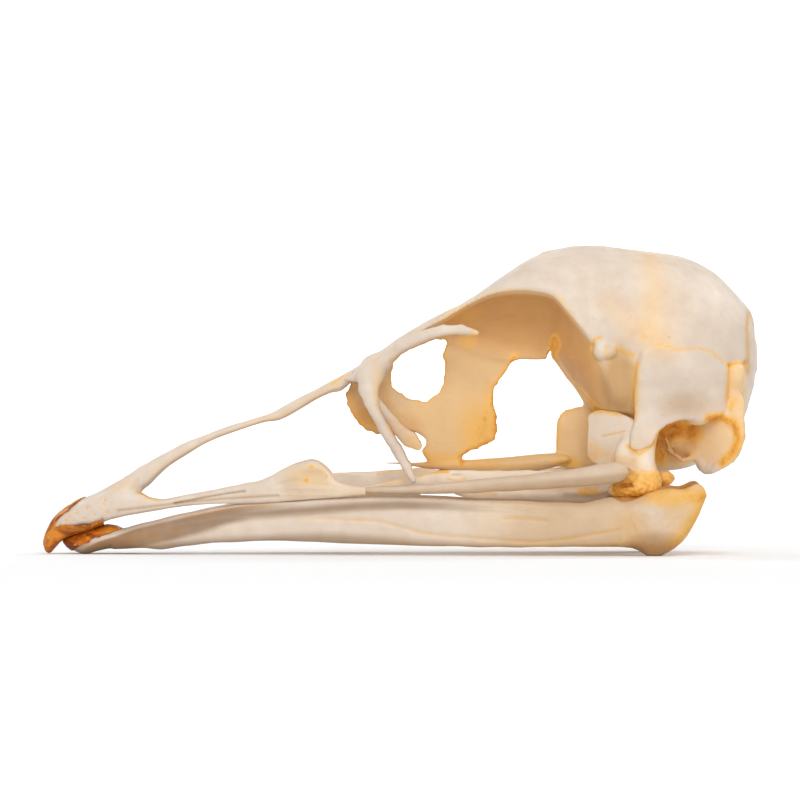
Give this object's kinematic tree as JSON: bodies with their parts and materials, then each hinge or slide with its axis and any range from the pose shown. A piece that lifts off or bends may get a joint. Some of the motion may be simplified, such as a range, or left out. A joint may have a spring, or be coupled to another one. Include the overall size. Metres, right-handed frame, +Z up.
{
  "type": "bird skull",
  "caption": "Long narrow bird skull with its lower jaw, a domed braincase, open eye sockets and a hooked bill tip, resting on the jaw.",
  "frame": {"origin": "under the middle of the skull, on the surface that the lower jaw rests on", "axes": "+Z up, +X towards the back of the head, so the beak points along -X; -Y is the bird's left side"},
  "size_m": [0.165, 0.053, 0.0712],
  "materials": {
    "bone": "dry cleaned bone, satin",
    "bone_warm": "bone with old grease stains, matt",
    "horn": "worn horn, half gloss"
  },
  "bodies": {
    "root": {"cranium": "bone", "upper_bill": "bone", "mandible": "bone", "lacrimal_left": "bone", "lacrimal_right": "bone", "jugal_bar_left": "bone", "jugal_bar_right": "bone", "quadrate_left": "bone_warm", "quadrate_right": "bone_warm", "pterygoid_left": "bone_warm", "pterygoid_right": "bone_warm", "vomer": "bone_warm", "upper_bill_horn": "horn", "lower_bill_horn": "horn"}
  },
  "joints": []
}
